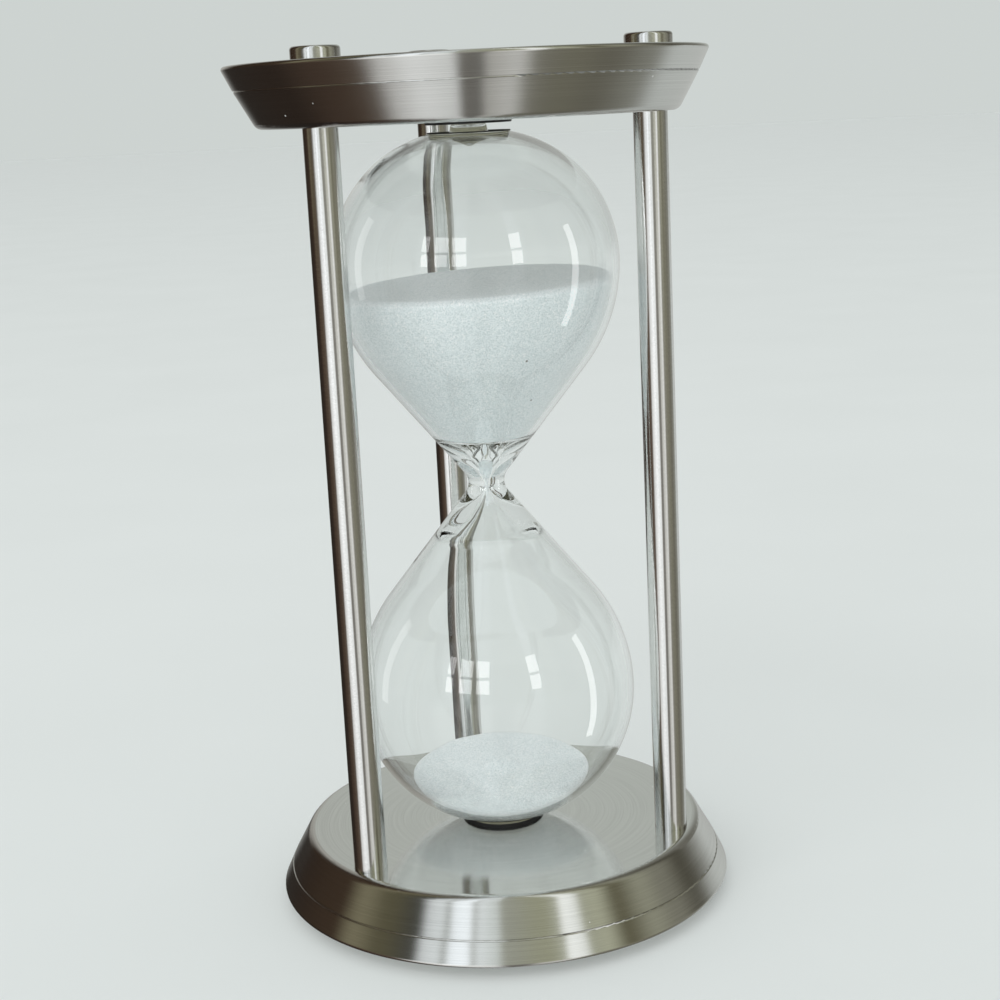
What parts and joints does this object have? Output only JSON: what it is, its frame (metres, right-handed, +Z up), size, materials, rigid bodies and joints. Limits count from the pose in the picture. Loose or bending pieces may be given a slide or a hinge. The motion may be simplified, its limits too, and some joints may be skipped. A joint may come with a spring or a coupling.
{
  "type": "hourglass",
  "caption": "Free-standing sand timer: blown glass with two bulbs and a fine neck, standing on rubber pads between round turned metal plates joined by tubular posts.",
  "frame": {"origin": "centre of the base's outline on the table plane, where the lower cap nuts rest", "axes": "+Z up along the glass's axis, +Y from the centre towards the rear post, +X to the right with the rear post behind"},
  "size_m": [0.149, 0.149, 0.275],
  "materials": {
    "plate_metal": "satin, turned",
    "post_metal": "satin",
    "rod_metal": "plain zinc-plated",
    "pad_rubber": "matt",
    "glass": "clear, blown",
    "sand": "fine white grains"
  },
  "bodies": {
    "frame": {"bottom_plate": "plate_metal", "top_plate": "plate_metal", "seat_pad_bottom": "pad_rubber", "seat_pad_top": "pad_rubber", "post_rear": "post_metal", "post_left": "post_metal", "post_right": "post_metal", "tie_rod_rear": "rod_metal", "tie_rod_left": "rod_metal", "tie_rod_right": "rod_metal", "cap_nut_bottom_rear": "post_metal", "cap_nut_bottom_left": "post_metal", "cap_nut_bottom_right": "post_metal", "cap_nut_top_rear": "post_metal", "cap_nut_top_left": "post_metal", "cap_nut_top_right": "post_metal"},
    "vessel": {"glass": "glass", "nub_ring": "pad_rubber", "sand_upper": "sand", "sand_lower": "sand", "sand_stream": "sand"}
  },
  "joints": [
    {"name": "glass_turn", "type": "hinge", "parent": "frame", "child": "vessel", "pos_m": [0, 0, 0], "axis": [0, 0, 1], "continuous": true}
  ]
}
